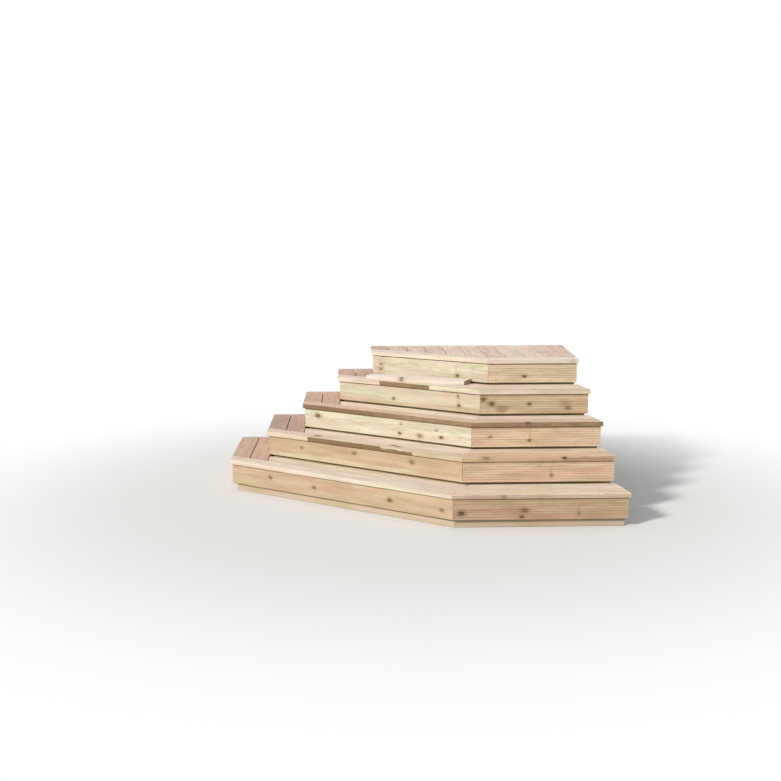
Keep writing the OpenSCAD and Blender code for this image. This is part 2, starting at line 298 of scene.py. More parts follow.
# Boards
class Board:
    """One solid of the frame. Its axes are u along it, v across it and w out of its face."""

    def __init__(self, node, mesh):
        self.node = node
        self.mesh = mesh
        self.upright = node.startswith(("riser", "frame"))
        self.u = self.direction()
        self.v = UPWARD if self.upright else UPWARD.cross(self.u)
        self.w = self.u.cross(UPWARD) if self.upright else UPWARD
        spans = []
        for axis in (self.u, self.v, self.w):
            reach = [vert.co.dot(axis) for vert in mesh.verts]
            spans.append((min(reach), max(reach)))
        self.length, self.width, self.depth = (high - low for low, high in spans)
        self.start = spans[0][0]
        self.mid_v = sum(spans[1]) / 2
        self.mid_w = sum(spans[2]) / 2
        self.knots = []
        self.smudges = []
        self.stretches = []
        self.tint = SAWN
        self.end_tone = END_TONES.get(node, 1.0)

    def direction(self):
        """The way of the longest edge that isn't vertical, to the right or to the front."""
        def level_length(edge):
            way = edge.verts[1].co - edge.verts[0].co
            return way.length if abs(way.z) < LEVEL_EDGE * way.length else 0
        edge = max(self.mesh.edges, key=level_length)
        way = (edge.verts[1].co - edge.verts[0].co).normalized()
        backward = way.x < 0 if abs(way.x) > NEGLIGIBLE else way.y > 0
        return -way if backward else way

    def local(self, point):
        """A point of the unbent board in its own axes."""
        return (point.dot(self.u) - self.start, point.dot(self.v) - self.mid_v,
                point.dot(self.w) - self.mid_w)

    def world(self, u, v, w):
        """A place on the unbent board as a point of the frame."""
        return self.u * (u + self.start) + self.v * (v + self.mid_v) + self.w * (w + self.mid_w)

    def bent(self, u, v, w):
        """A place on the board as a point of the frame, once the board is bent."""
        share = u / self.length
        arch = math.sin(math.pi * share)
        w = w + self.bow * arch + self.twist * (share - 0.5) * v
        v = v + self.crook * arch
        return self.world(u, v, w)

    def character(self, rng):
        """Chooses the board's bend and where it lay in its tree."""
        self.bow = rng.uniform(-1, 1) * BOW
        self.crook = rng.uniform(-1, 1) * CROOK
        self.twist = rng.uniform(-1, 1) * TWIST
        self.offset = rng.uniform(0, GRAIN_OFFSET)
        side = rng.choice((-1, 1))
        self.pith_v = rng.uniform(-PITH_ACROSS, PITH_ACROSS)
        self.pith_w = side * rng.uniform(*PITH_OUT)
        self.heart = rng.uniform(*HEART_RADIUS)
        self.shade = rng.uniform(-1, 1)
        if self.node in HEARTS:
            self.pith_v, self.pith_w, self.heart = HEARTS[self.node]

    def add_knot(self, u, v, w, radius, dark):
        """Adds a knot that grew from the pith through a place on the board."""
        angle = math.atan2(w - self.pith_w, v - self.pith_v)
        self.knots.append((u, angle, radius, dark))


def solids_of(node):
    """The separate solids of a CAD node, each in a mesh of its own with flat faces whole."""
    whole = bmesh.new()
    whole.from_mesh(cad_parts[node].data)
    bmesh.ops.remove_doubles(whole, verts=whole.verts, dist=WELD)
    bmesh.ops.dissolve_limit(whole, angle_limit=FLAT_ANGLE, verts=whole.verts, edges=whole.edges)
    whole.faces.index_update()
    left = set(whole.faces)
    solids = []
    while left:
        group = {left.pop()}
        front = list(group)
        while front:
            near = {f for e in front.pop().edges for f in e.link_faces if f in left}
            left -= near
            group |= near
            front.extend(near)
        ordered = sorted(group, key=lambda face: face.index)
        solid = bmesh.new()
        copies = {}
        for face in ordered:
            for vert in face.verts:
                if vert not in copies:
                    copies[vert] = solid.verts.new(vert.co)
        for face in ordered:
            solid.faces.new([copies[vert] for vert in face.verts])
        solids.append(solid)
    whole.free()
    return solids


def boards_of(node):
    """The boards of a node: those along the diagonal first, then from left to right. No two
    boards tie, so that each gets the same random values whenever the script runs."""
    def order(board):
        diagonal = min(abs(board.u.x), abs(board.u.y)) > NEGLIGIBLE
        place = board.mid_v if abs(board.u.x) < NEGLIGIBLE else board.start
        return not diagonal, *(round(value, DECIMALS) for value in (place, -board.mid_w, board.mid_v))
    return sorted((Board(node, mesh) for mesh in solids_of(node)), key=order)


def slice_across(board):
    """Cuts a board's faces into short lengths, so that it can bend."""
    count = max(1, round(board.length / SLICE))
    for cut in range(1, count):
        place = board.u * (board.start + board.length * cut / count)
        everything = board.mesh.verts[:] + board.mesh.edges[:] + board.mesh.faces[:]
        bmesh.ops.bisect_plane(board.mesh, geom=everything, plane_co=place, plane_no=board.u,
                               dist=CUT_MARGIN)


def is_sawn(node):
    return node.startswith(("frame", "sole"))


def tint_boards(node, group):
    """Gives each board of a node its tint; sawn and hidden ones share theirs."""
    fallback = SAWN
    if node.startswith("sole"):
        fallback = SOLE
    elif node.endswith("side"):
        fallback = OAT
    tints = TINTS.get(node, [fallback])
    for number, board in enumerate(group):
        board.tint = tints[min(number, len(tints) - 1)]


def add_object(name, data):
    added = bpy.data.objects.new(name, data)
    bpy.context.scene.collection.objects.link(added)
    return added


# Camera
def camera_axes():
    """The camera's right, up and forward directions."""
    forward = Vector((math.sin(CAMERA_YAW) * math.cos(CAMERA_PITCH),
                      math.cos(CAMERA_YAW) * math.cos(CAMERA_PITCH), math.sin(CAMERA_PITCH)))
    right = Vector((math.cos(CAMERA_YAW), -math.sin(CAMERA_YAW), 0))
    up = right.cross(forward)
    turned_right = right * math.cos(CAMERA_ROLL) + up * math.sin(CAMERA_ROLL)
    turned_up = up * math.cos(CAMERA_ROLL) - right * math.sin(CAMERA_ROLL)
    return turned_right, turned_up, forward


def make_camera():
    right, up, forward = camera_axes()
    data = bpy.data.cameras.new("camera")
    data.sensor_fit = "HORIZONTAL"
    data.sensor_width = SENSOR_MM
    data.lens = FOCAL_MM
    data.clip_end = CAMERA_REACH
    camera = add_object("camera", data)
    camera.matrix_world = Matrix((right, up, -forward)).transposed().to_4x4()
    camera.location = CAMERA_PLACE
    bpy.context.scene.camera = camera


def sight(px, py):
    """The direction in which the camera sees a pixel of the photograph."""
    right, up, forward = camera_axes()
    middle = PHOTO_PIXELS / 2
    focal = FOCAL_MM / SENSOR_MM * PHOTO_PIXELS
    return (forward * focal + right * (px - middle) - up * (py - middle)).normalized()


# Marks on single boards
def sight_tree(boards):
    """A search tree of all the boards' faces, and the board that each face belongs to."""
    points = []
    polygons = []
    owners = []
    for board in boards:
        board.mesh.verts.index_update()
        first = len(points)
        points.extend(vert.co.copy() for vert in board.mesh.verts)
        for face in board.mesh.faces:
            polygons.append([first + vert.index for vert in face.verts])
            owners.append(board)
    return BVHTree.FromPolygons(points, polygons), owners


def mark_boards(boards):
    """Gives the boards the knots, smudges and brown edges that the photograph shows."""
    tree, owners = sight_tree(boards)

    def found(px, py):
        place, _, index, _ = tree.ray_cast(CAMERA_PLACE, sight(px, py))
        return owners[index], place

    for knot in KNOTS:
        board, place = found(knot["px"], knot["py"])
        board.add_knot(*board.local(place), knot["radius"] / MM_PER_METRE, knot["dark"])
    for smudge in SMUDGES:
        board, place = found(smudge["px"], smudge["py"])
        u, v, _ = board.local(place)
        reach = (smudge["along"] / MM_PER_METRE, smudge["across"] / MM_PER_METRE)
        board.smudges.append((u, v, *reach, smudge["strength"]))
    for edge in BROWN_EDGES:
        board, first = found(*edge["start"])
        _, last = found(*edge["end"])
        start = board.local(first)[0]
        end = board.local(last)[0]
        if edge["whole"]:
            start = -1
            end = board.length + 1
        board.stretches.append((start, end, edge["cover"], edge["strength"]))


def add_small_knots(board, rng):
    """Adds the small knots that any board has."""
    wanted = 1 + int(board.length * rng.uniform(*KNOTS_PER_METRE))
    last = max(KNOT_FROM_END + KNOT_LEAST_SPAN, board.length - KNOT_FROM_END)
    while len(board.knots) < min(wanted, MOST_KNOTS):
        u = rng.uniform(KNOT_FROM_END, last)
        v = rng.uniform(-KNOT_ACROSS, KNOT_ACROSS) * board.width
        w = rng.choice((-0.5, 0.5)) * board.depth
        board.add_knot(u, v, w, rng.uniform(*SMALL_KNOT_RADIUS), rng.uniform(*SMALL_KNOT_DARKNESS))


# Boards as pieces. The shaders read these values at each corner
CORNER_VALUES = {
    "grain": "FLOAT_VECTOR",
    "place": "FLOAT_VECTOR",
    "nature": "FLOAT_VECTOR",
    "tint": "FLOAT_COLOR",
    **{f"knot_{number}": "FLOAT_COLOR" for number in range(MOST_KNOTS)},
    **{f"smudge_{number}": "FLOAT_COLOR" for number in range(MOST_SMUDGES)},
    **{f"smudge_strength_{number}": "FLOAT" for number in range(MOST_SMUDGES)},
    **{f"stretch_{number}": "FLOAT_COLOR" for number in range(MOST_STRETCHES)},
}
SOCKET_OF = {"FLOAT_VECTOR": "vector", "FLOAT_COLOR": "color", "FLOAT": "value"}


def padded(entries, count, blank):
    return (entries + [blank] * count)[:count]


def board_values(board):
    """The values that are the same at all corners of a board."""
    level = 1 + SHADE_SPREAD * board.shade
    steady = {
        "tint": (*(channel * level for channel in board.tint), board.end_tone),
        "nature": (board.heart, board.width / 2, board.depth / 2),
    }
    for number, knot in enumerate(padded(board.knots, MOST_KNOTS, BLANK_KNOT)):
        steady[f"knot_{number}"] = (knot[0] + board.offset, *knot[1:])
    for number, smudge in enumerate(padded(board.smudges, MOST_SMUDGES, BLANK_SMUDGE)):
        *place_and_reach, strength = smudge
        steady[f"smudge_{number}"] = place_and_reach
        steady[f"smudge_strength_{number}"] = [strength]
    for number, stretch in enumerate(padded(board.stretches, MOST_STRETCHES, BLANK_STRETCH)):
        steady[f"stretch_{number}"] = stretch
    return steady


def add_board(board, points, faces, ends, values):
    """Adds a board's corners, faces and values to the lists of its piece."""
    board.mesh.verts.index_update()
    board.mesh.normal_update()
    first = len(points)
    steady = board_values(board)
    for vert in board.mesh.verts:
        u, v, w = board.local(vert.co)
        points.append(board.bent(u, v, w))
        values["grain"].extend((u + board.offset, v - board.pith_v, w - board.pith_w))
        values["place"].extend((u, v, w))
        for name, value in steady.items():
            values[name].extend(value)
    for face in board.mesh.faces:
        faces.append([first + vert.index for vert in face.verts])
        ends.append(abs(face.normal.dot(board.u)) > END_FACE)


def smooth_mesh(name, points, faces, materials):
    mesh = bpy.data.meshes.new(name)
    mesh.from_pydata(points, [], faces)
    for material in materials:
        mesh.materials.append(material)
    mesh.polygons.foreach_set("use_smooth", [True] * len(faces))
    mesh.set_sharp_from_angle(angle=SMOOTH_ANGLE)
    mesh.update()
    return mesh


def dress(node, boards, materials):
    """Makes the piece that stands for a node, from its boards."""
    points = []
    faces = []
    ends = []
    values = {name: [] for name in CORNER_VALUES}
    for board in boards:
        add_board(board, points, faces, ends, values)
    mesh = smooth_mesh(node + "_wood", points, faces, materials)
    for name, kind in CORNER_VALUES.items():
        layer = mesh.attributes.new(name, kind, "POINT")
        layer.data.foreach_set(SOCKET_OF[kind], values[name])
    mesh.polygons.foreach_set("material_index", [int(end) for end in ends])
    mesh.update()
    piece = add_object(node + "_wood", mesh)
    weighted = piece.modifiers.new("weighted_normals", "WEIGHTED_NORMAL")
    weighted.keep_sharp = True
    weighted.weight = NORMAL_WEIGHT
    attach(piece, "root")
    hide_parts(node)
    return piece


# Materials
SPECULAR = 0.45

# The sockets for colours of a Mix node
MIX_FIRST = 6
MIX_SECOND = 7
MIX_RESULT = 2


class Nodes:
    """Short ways to add and join the nodes of one tree."""

    def __init__(self, tree):
        self.tree = tree
        tree.nodes.clear()

    def node(self, kind, **settings):
        node = self.tree.nodes.new(kind)
        for name, value in settings.items():
            setattr(node, name, value)
        return node

    def put(self, socket, value):
        """Links a socket to the value, or sets the value on it."""
        if isinstance(value, bpy.types.NodeSocket):
            self.tree.links.new(value, socket)
        elif isinstance(value, tuple) and socket.type == "RGBA":
            socket.default_value = (*value, 1)
        else:
            socket.default_value = value

    def maths(self, operation, *values):
        node = self.node("ShaderNodeMath", operation=operation)
        for socket, value in zip(node.inputs, values):
            self.put(socket, value)
        return node.outputs[0]

    def plus(self, first, second):
        return self.maths("ADD", first, second)

    def minus(self, first, second):
        return self.maths("SUBTRACT", first, second)

    def times(self, first, *others):
        for other in others:
            first = self.maths("MULTIPLY", first, other)
        return first

    def over(self, first, second):
        return self.maths("DIVIDE", first, second)

    def varied(self, value, change, amount):
        """The value plus an amount of the change."""
        return self.maths("MULTIPLY_ADD", change, amount, value)

    def sum_of_squares(self, first, second):
        return self.plus(self.times(first, first), self.times(second, second))

    def length(self, first, second):
        return self.maths("SQRT", self.sum_of_squares(first, second))

    def remap(self, value, source, target, kind):
        node = self.node("ShaderNodeMapRange", interpolation_type=kind)
        self.put(node.inputs["Value"], value)
        names = ("From Min", "From Max", "To Min", "To Max")
        for name, number in zip(names, (*source, *target)):
            node.inputs[name].default_value = number
        return node.outputs["Result"]

    def step(self, value, span):
        """0 at the span's first number, which may be the larger one, and 1 at its second."""
        target = (0, 1) if span[0] < span[1] else (1, 0)
        return self.remap(value, sorted(span), target, "SMOOTHSTEP")

    def mix(self, share, first, second, blend="MIX"):
        node = self.node("ShaderNodeMix", data_type="RGBA", blend_type=blend)
        self.put(node.inputs["Factor"], share)
        self.put(node.inputs[MIX_FIRST], first)
        self.put(node.inputs[MIX_SECOND], second)
        return node.outputs[MIX_RESULT]

    def stain(self, share, colour, filter_colour):
        """The colour seen through a share of a coloured filter."""
        return self.mix(share, colour, filter_colour, "MULTIPLY")

    def attribute(self, name):
        return self.node("ShaderNodeAttribute", attribute_name=name).outputs

    def split(self, vector):
        node = self.node("ShaderNodeSeparateXYZ")
        self.put(node.inputs[0], vector)
        return node.outputs[0], node.outputs[1], node.outputs[2]

    def join(self, x, y, z):
        node = self.node("ShaderNodeCombineXYZ")
        for socket, value in zip(node.inputs, (x, y, z)):
            self.put(socket, value)
        return node.outputs[0]

    def stretched(self, vector, scales):
        """A vector times a scale along the grain and a scale across it."""
        along, across = scales
        node = self.node("ShaderNodeVectorMath", operation="MULTIPLY")
        self.put(node.inputs[0], vector)
        node.inputs[1].default_value = (along, across, across)
        return node.outputs[0]

    def noise(self, vector, detail=2, roughness=0.5):
        node = self.node("ShaderNodeTexNoise", noise_dimensions="3D")
        self.put(node.inputs["Vector"], vector)
        node.inputs["Scale"].default_value = 1
        node.inputs["Detail"].default_value = detail
        node.inputs["Roughness"].default_value = roughness
        return node.outputs["Fac"]

    def finish(self, colour, roughness, height, bump_depth, metallic=0.0):
        """Joins a Principled surface with a bump to the output."""
        bump = self.node("ShaderNodeBump")
        self.put(bump.inputs["Distance"], bump_depth)
        self.put(bump.inputs["Height"], height)
        shader = self.node("ShaderNodeBsdfPrincipled")
        self.put(shader.inputs["Base Color"], colour)
        self.put(shader.inputs["Roughness"], roughness)
        self.put(shader.inputs["Metallic"], metallic)
        self.put(shader.inputs["Specular IOR Level"], SPECULAR)
        self.put(shader.inputs["Normal"], bump.outputs[0])
        output = self.node("ShaderNodeOutputMaterial")
        self.put(output.inputs["Surface"], shader.outputs[0])


def new_material(name):
    material = bpy.data.materials.new(name)
    material.use_nodes = True
    return material


# Growth rings
RING_PITCH = 0.0034
RING_DARKENS = (0.25, 0.85)    # this and the next in shares of a ring
RING_ENDS = (1.0, 0.92)
SLOW_WANDER = 0.006
QUICK_WANDER = 0.0009
RING_SWELL = 0.9               # how far rings bend round a knot, in its radii

# Knots. Each is a branch that grows straight out from the pith, wider along the grain
KNOT_LENGTHWISE = 0.72
KNOT_CROSSWISE = 1.12
KNOT_WILD = 0.34               # of its outline
WING_LENGTHWISE = 0.58
BEHIND_PITH = -9.0             # how fast it ends on the far side of the pith
SWELL_REACH = (3.4, 0.2)       # this and the next ones in radii of the knot
WING_REACH = (2.4, 0.4)
HALO_REACH = (3.2, 0.9)
CORE_REACH = (1.1, 0.84)
RIM_INSIDE = (0.7, 0.98)
RIM_OUTSIDE = (1.24, 1.02)
KNOT_RELIEF = (1.2, 0.9)
SAWN_KNOT_REACH = (1.1, 0.85)
NO_KNOT = 99.0

# Scales of noise along and across the grain, per metre
SLOW_SCALES = (1.6, 9)
QUICK_SCALES = (7, 60)
KNOT_SCALES = (60, 220)
CORE_SCALES = (300, 300)
HEART_SCALES = (2, 20)
PATCH_SCALES = (2.4, 16)
CLOUD_SCALES = (3.4, 26)
STREAK_SCALES = (3, 170)
RAGGED_SCALES = (14, 90)
FIBRE_SCALES = (22, 1100)
GLOSS_SCALES = (6, 90)
END_PATCH_SCALES = (20, 20)
END_FUZZ_SCALES = (900, 900)
SAWN_PATCH_SCALES = (3, 18)
SAWN_STREAK_SCALES = (4, 150)
SAWN_FUZZ_SCALES = (60, 900)
SAW_WANDER_SCALES = (8, 8)
SPECKLE_SCALES = (700, 700)


class Wood(Nodes):
    """A material that reads the boards' values, with growth rings and knots."""

    def __init__(self, name):
        self.material = new_material(name)
        super().__init__(self.material.node_tree)
        self.grain = self.attribute("grain")["Vector"]
        # The place along the board, and from the pith across it and out of it
        self.u, self.a, self.b = self.split(self.grain)
        self.find_knots()
        self.find_rings()

    def grain_noise(self, scales, detail=2, roughness=0.5):
        return self.noise(self.stretched(self.grain, scales), detail, roughness)

    def swing(self, scales, detail=2, low=0.3):
        """Noise along the grain, spread to the span from -1 to 1."""
        return self.remap(self.grain_noise(scales, detail), (low, 1 - low), (-1, 1), "LINEAR")

    def find_knots(self):
        """Sets the nearest knot's distance in radii, its darkness, how far the rings bend round
        knots, and the dark wings along the grain beside them."""
        ragged = self.swing(KNOT_SCALES)
        self.nearest = NO_KNOT
        self.darkness = 0.0
        self.bending = 0.0
        self.wings = 0.0
        for number in range(MOST_KNOTS):
            knot = self.attribute(f"knot_{number}")
            along, angle, radius = self.split(knot["Vector"])
            dark = knot["Alpha"]
            cosine = self.maths("COSINE", angle)
            sine = self.maths("SINE", angle)
            out = self.plus(self.times(self.a, cosine), self.times(self.b, sine))
            side = self.minus(self.times(self.b, cosine), self.times(self.a, sine))
            past = self.times(self.minus(self.u, along), KNOT_LENGTHWISE)
            behind = self.maths("MAXIMUM", self.times(out, BEHIND_PITH), 0.0)
            near = self.plus(self.length(past, self.times(side, KNOT_CROSSWISE)), behind)
            near = self.varied(self.over(near, radius), ragged, KNOT_WILD)
            far = self.plus(self.length(self.times(past, WING_LENGTHWISE), side), behind)
            far = self.over(far, radius)
            closer = self.maths("LESS_THAN", near, self.nearest)
            self.darkness = self.plus(self.times(dark, closer),
                                      self.times(self.darkness, self.minus(1.0, closer)))
            self.nearest = self.maths("MINIMUM", near, self.nearest)
            self.bending = self.plus(self.bending, self.times(self.step(far, SWELL_REACH), radius))
            wing = self.times(self.step(far, WING_REACH), dark)
            self.wings = self.maths("MAXIMUM", self.wings, wing)

    def find_rings(self):
        """Sets the distance from the pith, with the wander of real rings, and the late wood."""
        wander = self.varied(self.times(self.swing(QUICK_SCALES), QUICK_WANDER),
                             self.swing(SLOW_SCALES), SLOW_WANDER)
        even = self.plus(self.length(self.a, self.b), wander)
        self.radius = self.plus(even, self.times(self.bending, RING_SWELL))
        ring = self.maths("FRACT", self.over(self.radius, RING_PITCH))
        self.late = self.times(self.step(ring, RING_DARKENS), self.step(ring, RING_ENDS))


# Planed boards. Plain triples are filters that a colour is multiplied by, and a FROM is the span
# of noise in which a filter sets in
SAP_WOOD = (1.05, 1.08, 1.12)
HEART_WOOD = (0.94, 0.86, 0.83)
HEART_WANDER = 0.006
HEART_BLUR = (-0.004, 0.004)
PINKER = (1.03, 0.92, 0.91)
PINKER_FROM = (0.0, 1.0)
GREENER = (0.97, 1.04, 0.90)
GREENER_FROM = (0.0, -1.0)
DULLER = (0.91, 0.895, 0.88)
DULLER_FROM = (-0.3, 1.0)
BRIGHTER = (1.09, 1.10, 1.13)
BRIGHTER_FROM = (0.2, -1.0)
STREAKED = (0.91, 0.87, 0.82)
STREAKED_FROM = (0.1, 1.1)
EDGE_WOOD = (0.78, 0.79, 0.77)
EDGE_BLUR = (0.0045, 0.0030)
LATE_WOOD = (0.86, 0.77, 0.65)
LATE_SHARE = 0.6

# Brown stretches
BROWNS = (seen(118, 97, 64), seen(154, 126, 93))
BROWN_SPAN = (-0.9, 0.9)
RED_BROWN = seen(141, 110, 84)
RED_BROWN_FROM = (-0.2, 0.8)
BROWN_LATE = seen(104, 79, 52)
BROWN_LATE_SHARE = 0.5
STRETCH_BLUR = (-0.001, 0.001)
COVER_BLUR = (-0.03, 0.03)
COVER_WANDER = 0.08

# Smudges
SMUDGED = (0.66, 0.60, 0.53)
SMUDGE_REACH = (1.8, 0.0)
SMUDGE_STREAKS = 0.3

# Knots in planed boards
WINGED = (0.62, 0.56, 0.42)
WING_SHARE = 0.55
HALO = (0.68, 0.56, 0.40)
HALO_LEAST = 0.2
HALO_BY_DARKNESS = 0.5
CORE_BROWNS = (seen(118, 96, 64), seen(80, 62, 40))
PALE_CORE = seen(170, 150, 116)
WHORL = (0.6, 0.5, 0.42)
WHORL_SHARE = 0.4
WHORLS_PER_RADIUS = 2.6
WHORL_START = 0.2
RIM = seen(66, 52, 34)

# Surface of planed boards
ROUGHNESS = 0.58
ROUGHNESS_CHANGE = 0.18
LATE_RELIEF = 0.5
FIBRE_RELIEF = 0.5
KNOT_RELIEF_SHARE = 0.5
PLANED_DEPTH = 0.00035


def brown_edges(wood, colour, place, half_depth, at_edge, patch):
    """The colour with the brown stretches of the front edges over it."""
    along, _, out = wood.split(place)
    ragged = wood.swing(RAGGED_SCALES, detail=3)
    brown = wood.mix(wood.step(ragged, BROWN_SPAN), *BROWNS)
    brown = wood.mix(wood.step(patch, RED_BROWN_FROM), brown, RED_BROWN)
    brown = wood.mix(wood.times(wood.late, BROWN_LATE_SHARE), brown, BROWN_LATE)
    height = wood.over(wood.plus(out, half_depth), wood.times(half_depth, 2.0))
    height = wood.varied(height, ragged, COVER_WANDER)
    for number in range(MOST_STRETCHES):
        stretch = wood.attribute(f"stretch_{number}")
        start, end, cover = wood.split(stretch["Vector"])
        after = wood.step(wood.minus(along, start), STRETCH_BLUR)
        before = wood.step(wood.minus(end, along), STRETCH_BLUR)
        below = wood.step(wood.minus(cover, height), COVER_BLUR)
        share = wood.times(after, before, below, at_edge, stretch["Alpha"])
        colour = wood.mix(share, colour, brown)
    return colour


def smudges(wood, colour, place, streak):
    """The colour with soft dark stains over it."""
    along, across, _ = wood.split(place)
    for number in range(MOST_SMUDGES):
        smudge = wood.attribute(f"smudge_{number}")
        mid_along, mid_across, reach_along = wood.split(smudge["Vector"])
        du = wood.over(wood.minus(along, mid_along), reach_along)
        dv = wood.over(wood.minus(across, mid_across), smudge["Alpha"])
        far = wood.varied(wood.sum_of_squares(du, dv), streak, SMUDGE_STREAKS)
        strength = wood.attribute(f"smudge_strength_{number}")["Fac"]
        share = wood.times(wood.step(far, SMUDGE_REACH), strength)
        colour = wood.stain(share, colour, SMUDGED)
    return colour


def knots(wood, colour):
    """The colour with knots over it: dark wings, a halo, a hard core and a dark rim."""
    colour = wood.stain(wood.times(wood.wings, WING_SHARE), colour, WINGED)
    halo = wood.varied(HALO_LEAST, wood.darkness, HALO_BY_DARKNESS)
    halo = wood.times(wood.step(wood.nearest, HALO_REACH), halo)
    colour = wood.stain(halo, colour, HALO)
    core = wood.mix(wood.grain_noise(CORE_SCALES), *CORE_BROWNS)
    core = wood.mix(wood.darkness, PALE_CORE, core)
    whorl = wood.maths("FRACT", wood.varied(WHORL_START, wood.nearest, WHORLS_PER_RADIUS))
    core = wood.stain(wood.times(whorl, WHORL_SHARE), core, WHORL)
    colour = wood.mix(wood.step(wood.nearest, CORE_REACH), colour, core)
    rim = wood.times(wood.step(wood.nearest, RIM_INSIDE), wood.step(wood.nearest, RIM_OUTSIDE))
    return wood.mix(wood.times(rim, wood.darkness), colour, RIM)


def planed_wood():
    """Planed and reeded decking boards."""
    wood = Wood("decking")
    place = wood.attribute("place")["Vector"]
    tint = wood.attribute("tint")["Color"]
    heart, half_width, half_depth = wood.split(wood.attribute("nature")["Vector"])

    # Heart wood is pinker than sap wood
    border = wood.varied(heart, wood.swing(HEART_SCALES), HEART_WANDER)
    inside = wood.step(wood.minus(border, wood.radius), HEART_BLUR)
    colour = wood.mix(inside, wood.stain(1.0, tint, SAP_WOOD), wood.stain(1.0, tint, HEART_WOOD))

    # Patches, paler and darker stretches, and streaks run with the grain
    patch = wood.swing(PATCH_SCALES, detail=3, low=0.32)
    cloud = wood.swing(CLOUD_SCALES, detail=3, low=0.34)
    streak = wood.swing(STREAK_SCALES, detail=3)
    colour = wood.stain(wood.step(patch, PINKER_FROM), colour, PINKER)
    colour = wood.stain(wood.step(patch, GREENER_FROM), colour, GREENER)
    colour = wood.stain(wood.step(cloud, DULLER_FROM), colour, DULLER)
    colour = wood.stain(wood.step(cloud, BRIGHTER_FROM), colour, BRIGHTER)
    colour = wood.stain(wood.step(streak, STREAKED_FROM), colour, STREAKED)

    # The front edge of a board is browner than its face
    _, across, _ = wood.split(place)
    at_edge = wood.step(wood.plus(across, half_width), EDGE_BLUR)
    colour = wood.stain(at_edge, colour, EDGE_WOOD)

    colour = wood.stain(wood.times(wood.late, LATE_SHARE), colour, LATE_WOOD)
    colour = brown_edges(wood, colour, place, half_depth, at_edge, patch)
    colour = smudges(wood, colour, place, streak)
    colour = knots(wood, colour)

    roughness = wood.varied(ROUGHNESS, wood.grain_noise(GLOSS_SCALES), ROUGHNESS_CHANGE)
    fibres = wood.times(wood.grain_noise(FIBRE_SCALES, roughness=0.6), FIBRE_RELIEF)
    height = wood.varied(fibres, wood.late, LATE_RELIEF)
    height = wood.varied(height, wood.step(wood.nearest, KNOT_RELIEF), KNOT_RELIEF_SHARE)
    wood.finish(colour, roughness, height, PLANED_DEPTH)
    return wood.material


# Cut ends
DECKING_END_FILTER = (0.80, 0.72, 0.62)
TIMBER_END_FILTER = (0.84, 0.78, 0.66)
DARK_END = seen(92, 70, 50)
END_LATE = (0.66, 0.52, 0.38)
END_LATE_SHARE = 0.8
END_PATCH = (0.82, 0.80, 0.72)
END_PATCH_FROM = (-0.2, 1.2)
RAYS_AROUND = 40.0
RAYS_OUT = 30.0
CHECK_EDGE = (0.36, 0.30)
CHECK = seen(90, 66, 44)
CHECK_SHARE = 0.7
END_ROUGHNESS = 0.85
END_DEPTH = 0.0005


def end_grain(name, end_filter):
    """The sawn ends of boards, darker than their faces, with rings and fine checks."""
    wood = Wood(name)
    tint = wood.attribute("tint")
    colour = wood.stain(1.0, tint["Color"], end_filter)
    colour = wood.mix(tint["Alpha"], DARK_END, colour)
    colour = wood.stain(wood.times(wood.late, END_LATE_SHARE), colour, END_LATE)
    patch = wood.swing(END_PATCH_SCALES, detail=3)
    colour = wood.stain(wood.step(patch, END_PATCH_FROM), colour, END_PATCH)
    turn = wood.times(wood.maths("ARCTAN2", wood.b, wood.a), RAYS_AROUND)
    rays = wood.noise(wood.join(turn, wood.times(wood.radius, RAYS_OUT), wood.u))
    check = wood.step(rays, CHECK_EDGE)
    colour = wood.mix(wood.times(check, CHECK_SHARE), colour, CHECK)
    height = wood.minus(wood.grain_noise(END_FUZZ_SCALES, roughness=0.7), check)
    wood.finish(colour, END_ROUGHNESS, height, END_DEPTH)
    return wood.material


# Sawn timber
SAWN_PALE = (1.08, 1.10, 1.14)
SAWN_GREEN = (0.95, 1.0, 0.88)
SAWN_GREEN_FROM = (-0.2, 1.0)
SAWN_LATE = (0.84, 0.74, 0.62)
SAWN_LATE_SHARE = 0.6
SAWN_STREAKED = (0.86, 0.83, 0.78)
SAWN_STREAKED_FROM = (0.0, 1.2)
SAWN_KNOT = seen(120, 88, 56)
SAW_MARKS = 1500.0             # radians per metre
SAW_WANDER = 9.0
SAW_RELIEF = 0.25
SAWN_ROUGHNESS = 0.86
SAWN_DEPTH = 0.0006


def sawn_timber():
    """Pressure treated timber as sawn, with the marks of the saw across it."""
    wood = Wood("sawn_timber")
    tint = wood.attribute("tint")["Color"]
    greener = wood.step(wood.swing(SAWN_PATCH_SCALES, detail=3), SAWN_GREEN_FROM)
    colour = wood.mix(greener, wood.stain(1.0, tint, SAWN_PALE), wood.stain(1.0, tint, SAWN_GREEN))
    colour = wood.stain(wood.times(wood.late, SAWN_LATE_SHARE), colour, SAWN_LATE)
    streak = wood.swing(SAWN_STREAK_SCALES, detail=3)
    colour = wood.stain(wood.step(streak, SAWN_STREAKED_FROM), colour, SAWN_STREAKED)
    colour = wood.mix(wood.step(wood.nearest, SAWN_KNOT_REACH), colour, SAWN_KNOT)
    wander = wood.times(wood.grain_noise(SAW_WANDER_SCALES, detail=1), SAW_WANDER)
    wave = wood.maths("SINE", wood.plus(wood.times(wood.u, SAW_MARKS), wander))
    height = wood.varied(wood.grain_noise(SAWN_FUZZ_SCALES, roughness=0.6), wave, SAW_RELIEF)
    wood.finish(colour, SAWN_ROUGHNESS, height, SAWN_DEPTH)
    return wood.material


# Coated screws
SCREW_COLOURS = (seen(196, 174, 134), seen(158, 136, 100))
SCREW_ROUGHNESS = 0.5
SCREW_METALLIC = 0.3
SCREW_DEPTH = 0.0001


